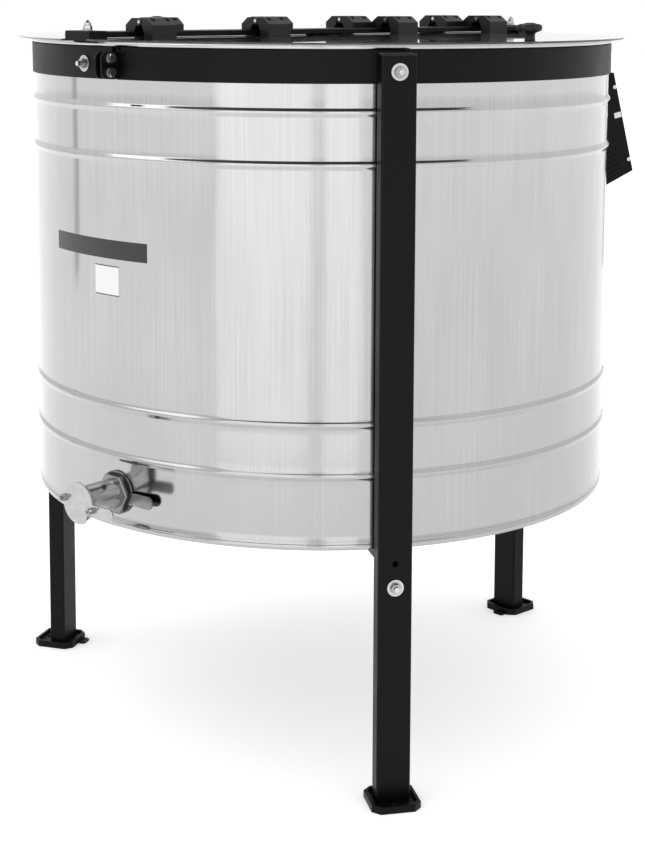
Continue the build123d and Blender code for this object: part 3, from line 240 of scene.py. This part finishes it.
def cast_metal():
    """Dark cast aluminium with a sandy skin."""
    n = Nodes("cast_aluminium")
    pos = n.coords()
    sand = n.noise(pos, 420, 5, 0.65)
    cloud = n.noise(pos, 25, 4, 0.6)
    n.tint(cloud, (0.028, 0.029, 0.031), (0.055, 0.056, 0.058))
    n.link(n.spread(sand, 0.38, 0.62), n.bsdf.inputs["Roughness"])
    n.bump(sand, 0.00025, 0.7, 0.0008)
    return n.mat


STRIP_ABOVE_MIDDLE = 0.009             # where the dark strip starts, above the labels' middle
PATCH_Z, PATCH_HALF = 0.793, 0.0222    # middle and half height of the pale patch inside its border


def label_film():
    """Blank label: a dark strip above, and a pale patch below with a thin border at its top and bottom."""
    n = Nodes("label_film")
    wrap, z = n.wrapped()
    low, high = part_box("blank_labels")
    upper = n.math("GREATER_THAN", z, (low[2] + high[2]) / 2 + STRIP_ABOVE_MIDDLE)
    off_middle = n.math("ABSOLUTE", n.math("SUBTRACT", z, PATCH_Z))
    patch = n.math("LESS_THAN", off_middle, PATCH_HALF)
    inner = n.tint(upper, (0.74, 0.74, 0.73), (0.014, 0.014, 0.015))
    border = n.new("ShaderNodeMix", data_type="RGBA")
    border.inputs["A"].default_value = (0.06, 0.06, 0.062, 1)
    n.link(n.math("MAXIMUM", upper, patch), border.inputs["Factor"])
    n.link(inner.outputs["Result"], border.inputs["B"])
    n.link(border.outputs["Result"], n.bsdf.inputs["Base Color"])
    fine = n.noise(wrap, 500, 2)
    n.link(n.spread(fine, 0.22, 0.34), n.bsdf.inputs["Roughness"])
    n.bump(fine, 0.00002, 0.4)
    return n.mat


def board():
    """Green circuit board with pale solder dots."""
    n = Nodes("circuit_board")
    pos = n.coords()
    cells = n.new("ShaderNodeTexVoronoi", feature="F1")
    cells.inputs["Scale"].default_value = 260
    n.link(pos, cells.inputs["Vector"])
    dots = n.math("LESS_THAN", cells.outputs["Distance"], 0.2)
    n.tint(dots, (0.012, 0.10, 0.035), (0.45, 0.36, 0.12))
    set_values(n.bsdf, rough=0.4)
    n.bump(cells.outputs["Distance"], 0.0002, 0.4)
    return n.mat


finish = {
    "stainless_sheet": sheet_steel(),
    "black_powder_coat": powder_coat(),
    "black_plastic": plastic("black_plastic", (0.0030, 0.0030, 0.0032), (0.0075, 0.0075, 0.0078)),
    "clear_lid": clear_sheet(),
    "zinc_fasteners": turned_steel("zinc_fasteners", (0.66, 0.66, 0.645), 0.20),
    "bearing_steel": turned_steel("bearing_steel", (0.66, 0.67, 0.68), 0.26),
    "rubber": plastic("rubber", (0.010, 0.010, 0.010), (0.020, 0.020, 0.019), 0.75, 700, 0.0002),
    "cast_aluminium": cast_metal(),
    "display_dark": plastic("display_dark", (0.004, 0.008, 0.008), (0.010, 0.016, 0.016), 0.09, 60,
                            0.00001),
    "red_plastic": plastic("red_plastic", (0.42, 0.012, 0.008), (0.60, 0.022, 0.014), 0.28),
    "green_plastic": plastic("green_plastic", (0.010, 0.22, 0.045), (0.02, 0.34, 0.07), 0.28),
    "circuit_board": board(),
    "label_film": label_film(),
}
fine_steel = turned_steel("gate_steel", (0.50, 0.50, 0.49), 0.12, shade_depth=0.012)
# a plainly darker steel tint for the gate nuts
darker_nut_steel = turned_steel("gate_nut_steel", (0.26, 0.26, 0.255), 0.16, shade_depth=0.015)
own_finish = dict.fromkeys(("gate_body", "gate_blade", "gate_wing_nut", "gate_bolts"), fine_steel)
own_finish["gate_nuts"] = darker_nut_steel
slot_of = {entry["node"]: entry["material_slot"] for entry in frame["record"]["subparts"]}
for name, obj in nodes.items():
    obj.data.materials.clear()
    obj.data.materials.append(own_finish.get(name, finish[slot_of[name]]))


# ------------------------------------------------------------------ detailed pieces
def mesh_object(name, verts, faces, material, smooth=True):
    mesh = bpy.data.meshes.new(name)
    mesh.from_pydata([tuple(v) for v in verts], [], faces)
    mesh.update()
    if smooth:
        mesh.polygons.foreach_set("use_smooth", [True] * len(mesh.polygons))
    obj = bpy.data.objects.new(name, mesh)
    bpy.context.scene.collection.objects.link(obj)
    mesh.materials.append(material)
    return obj


def lathe(name, profile, steps, material):
    """Surface that a closed profile of (radius, height) points makes round the upright axis."""
    verts, faces, count = [], [], len(profile)
    for k in range(steps):
        a = TAU * k / steps
        verts += [(r * math.sin(a), -r * math.cos(a), z) for r, z in profile]
    for k in range(steps):
        here, after = k * count, (k + 1) % steps * count
        for i in range(count):
            j = (i + 1) % count
            faces.append((here + i, after + i, after + j, here + j))
    return mesh_object(name, verts, faces, material)


def arc(centre, radius, start, end, steps):
    """Points on an arc from start to end, in degrees."""
    angles = [math.radians(start + (end - start) * i / steps) for i in range(steps + 1)]
    return [(centre[0] + radius * math.cos(a), centre[1] + radius * math.sin(a)) for a in angles]


wall_low, wall_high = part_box("drum_wall")
BOTTOM = wall_low[2]
RIM_TOP = wall_high[2]
DRUM_STEPS = 512
BEADS = (0.512, 0.592, 0.988, 1.067)   # heights of the four beads
BEAD_OUT, BEAD_HALF = 0.0036, 0.0085
RIM_R, RIM_OUT = 0.0037, 0.0012        # the rim's wire radius, and its centre outside the wall
# the hem's section: out from the wall, and up from its lower edge
HEM = ((0.0004, 0.0), (0.00105, 0.0009), (0.00108, 0.0078), (0.0004, 0.0084), (0.0, 0.0088))


def wall_profile():
    """Closed section of the drum wall: hem, rolled beads and the wired rim."""
    outer = [(DRUM_R + out, BOTTOM + up) for out, up in HEM]
    z = outer[-1][1]
    for bead in BEADS:
        for stop in np.linspace(z, bead - BEAD_HALF, 8)[1:]:
            outer.append((DRUM_R, stop))
        for t in np.linspace(-1, 1, 21)[1:]:
            swell = BEAD_OUT * 0.5 * (1 + math.cos(math.pi * t))
            outer.append((DRUM_R + swell, bead + t * BEAD_HALF))
        z = bead + BEAD_HALF
    rim_z = RIM_TOP - RIM_R
    for stop in np.linspace(z, rim_z - RIM_R - 0.0003, 6)[1:]:
        outer.append((DRUM_R, stop))
    rim = arc((DRUM_R + RIM_OUT, rim_z), RIM_R, -100, 200, 22)
    inner = [(DRUM_R - SHEET_T, z) for z in np.linspace(rim_z - 0.003, BOTTOM, 40)]
    return outer + rim + inner


drum = lathe("drum_wall_sheet", wall_profile(), DRUM_STEPS, finish["stainless_sheet"])
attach(drum, "frame")
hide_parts("drum_wall")


# ------------------------------------------------------------------ smoothing of carried-over pieces
CAD_SHARP, KNOB_SHARP = math.radians(28), math.radians(50)

for name, obj in nodes.items():
    if name != "drum_wall":
        mesh = obj.data
        mesh.polygons.foreach_set("use_smooth", [True] * len(mesh.polygons))
        mesh.set_sharp_from_angle(angle=CAD_SHARP)


# ------------------------------------------------------------------ lid knobs
KNOB_SIDES, KNOB_LOBES, KNOB_AT = 120, 5, 0.481
LOBE_DEPTH, LOBE_POWER = 0.30, 1.6
# radius, height above the lid, and how much of the lobes' dip each ring takes
KNOB_PROFILE = ((0.0080, 0.0000, 0), (0.0086, 0.0006, 0), (0.0080, 0.0050, 0), (0.0080, 0.0095, 0),
                (0.0102, 0.0122, 0.15), (0.0160, 0.0140, 0.7), (0.0197, 0.0156, 1), (0.0210, 0.0182, 1),
                (0.0210, 0.0212, 1), (0.0198, 0.0238, 1), (0.0170, 0.0254, 0.9), (0.0125, 0.0262, 0.5),
                (0.0092, 0.0264, 0.15), (0.0086, 0.0272, 0), (0.0070, 0.0276, 0), (0.0030, 0.0278, 0))


def lobed_knob(name, node, body):
    """Five-lobed clamping knob standing where the CAD knob does, with a raised centre button."""
    low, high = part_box(node)
    centre_x, base = KNOB_AT if low[0] + high[0] > 0 else -KNOB_AT, low[2]
    verts, faces, count = [], [], len(KNOB_PROFILE)
    for k in range(KNOB_SIDES):
        a = TAU * k / KNOB_SIDES
        dip = (0.5 - 0.5 * math.cos(KNOB_LOBES * a)) ** LOBE_POWER
        for r, h, lobe in KNOB_PROFILE:
            r *= 1 - LOBE_DEPTH * lobe * dip
            verts.append((centre_x + r * math.cos(a), r * math.sin(a), base + h))
    for k in range(KNOB_SIDES):
        here, after = k * count, (k + 1) % KNOB_SIDES * count
        faces += [(here + i, after + i, after + i + 1, here + i + 1) for i in range(count - 1)]
    faces.append([k * count + count - 1 for k in range(KNOB_SIDES)])
    faces.append([k * count for k in reversed(range(KNOB_SIDES))])
    knob = mesh_object(name, verts, faces, finish["black_plastic"])
    knob.data.set_sharp_from_angle(angle=KNOB_SHARP)
    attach(knob, body)
    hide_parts(node)


lobed_knob("right_knob_moulding", "lid_right_knob", "right_lid")
lobed_knob("left_knob_moulding", "lid_left_knob", "left_lid")


# ------------------------------------------------------------------ studio
def plain(name, value, rough=0.9, glow=0.0):
    """Even studio material with its own glow."""
    n = Nodes(name)
    for socket, setting in (("Base Color", (value, value, value, 1)), ("Roughness", rough),
                            ("Emission Color", (1, 1, 1, 1)), ("Emission Strength", glow)):
        n.bsdf.inputs[socket].default_value = setting
    return n.mat


def card(name, azimuth, distance, width, low, high, material):
    """Upright studio card facing the drum's axis, seen only in reflections and through the lids."""
    a = math.radians(azimuth)
    out, side = Vector((math.sin(a), -math.cos(a), 0)), Vector((math.cos(a), math.sin(a), 0))
    verts = [out * distance + side * s * width / 2 + Vector((0, 0, z)) for s, z in
             ((-1, low), (1, low), (1, high), (-1, high))]
    obj = mesh_object(name, verts, [(0, 1, 2, 3)], material, smooth=False)
    obj.visible_camera = obj.visible_shadow = obj.visible_diffuse = False


FLOOR = 30                             # half the floor's side
floor = mesh_object("studio_floor", [(-FLOOR, -FLOOR, 0), (FLOOR, -FLOOR, 0), (FLOOR, FLOOR, 0),
                                     (-FLOOR, FLOOR, 0)],
                    [(0, 1, 2, 3)], plain("studio_floor", 0.90, glow=0.33), smooth=False)

world = bpy.data.worlds.new("studio")
bpy.context.scene.world = world
world.use_nodes = True
background = world.node_tree.nodes["Background"]
background.inputs["Color"].default_value = (1, 1, 1, 1)
background.inputs["Strength"].default_value = 1.02

softbox = plain("softbox", 0, rough=1.0, glow=1.62)
dark = plain("dark_card", 0.03)
grey = plain("grey_card", 0.45)
# name, azimuth, distance, width, lowest and highest height, material
CARDS = (("softbox_left", 27.6, 2.4, 1.345, 0.0, 2.7, softbox),
         ("softbox_right", 54.9, 2.4, 0.547, 0.0, 2.7, softbox),
         ("flag_a", 200, 5.2, 0.30, 0.0, 1.6, grey),
         ("flag_b", 300, 5.2, 0.30, 0.0, 1.6, grey))
for row in CARDS:
    card(*row)

# dark ceiling panel, seen only in glossy reflections such as the upper flanks of the beads
PANEL_Z, PANEL_RADII, PANEL_AZIMUTHS = 3.7, (0.7, 3.3), range(-25, 116, 5)
fan = [(r * math.sin(math.radians(a)), -r * math.cos(math.radians(a)), PANEL_Z)
       for a in PANEL_AZIMUTHS for r in PANEL_RADII]
strips = [(2 * i, 2 * i + 1, 2 * i + 3, 2 * i + 2) for i in range(len(fan) // 2 - 1)]
ceiling = mesh_object("ceiling_panel", fan, strips, dark, smooth=False)
ceiling.visible_camera = ceiling.visible_shadow = ceiling.visible_diffuse = False
ceiling.visible_transmission = False

KEY_AT, KEY_AIM = Vector((-1.6, -3.0, 4.6)), Vector((0, 0, 0.6))
light = bpy.data.lights.new("key", "AREA")
light.shape = "RECTANGLE"
light.size = light.size_y = 3.5
light.energy = 42
key = bpy.data.objects.new("key", light)
bpy.context.scene.collection.objects.link(key)
key.location = KEY_AT
key.rotation_euler = (KEY_AIM - KEY_AT).to_track_quat("-Z", "Y").to_euler()

# ------------------------------------------------------------------ camera
# the shift is smaller than the photograph's and the pitch makes up for it, for the sake of other views
CAM_AZ, CAM_DIST, CAM_Z = math.radians(47.65), 3.079, 1.2397
PITCH, ROLL = 0.1192, 0.0035           # radians
SENSOR, LENS = 36.0, 73.673            # millimetres
SHIFT_X, SHIFT_Y = 0.0013, -0.26
data = bpy.data.cameras.new("camera")
data.sensor_fit = "AUTO"
data.sensor_width = SENSOR
data.lens = LENS
data.shift_x = SHIFT_X
data.shift_y = SHIFT_Y
data.clip_end = 200
camera = bpy.data.objects.new("camera", data)
bpy.context.scene.collection.objects.link(camera)
bpy.context.scene.camera = camera
camera.location = (CAM_DIST * math.sin(CAM_AZ), -CAM_DIST * math.cos(CAM_AZ), CAM_Z)
look = Vector((-math.sin(CAM_AZ) * math.cos(PITCH), math.cos(CAM_AZ) * math.cos(PITCH),
               -math.sin(PITCH)))
camera.rotation_euler = look.to_track_quat("-Z", "Y").to_euler()
camera.rotation_euler.rotate_axis("Z", ROLL)

scene = bpy.context.scene
scene.view_settings.view_transform = "Standard"
scene.view_settings.look = "None"
scene.view_settings.exposure = 0.0
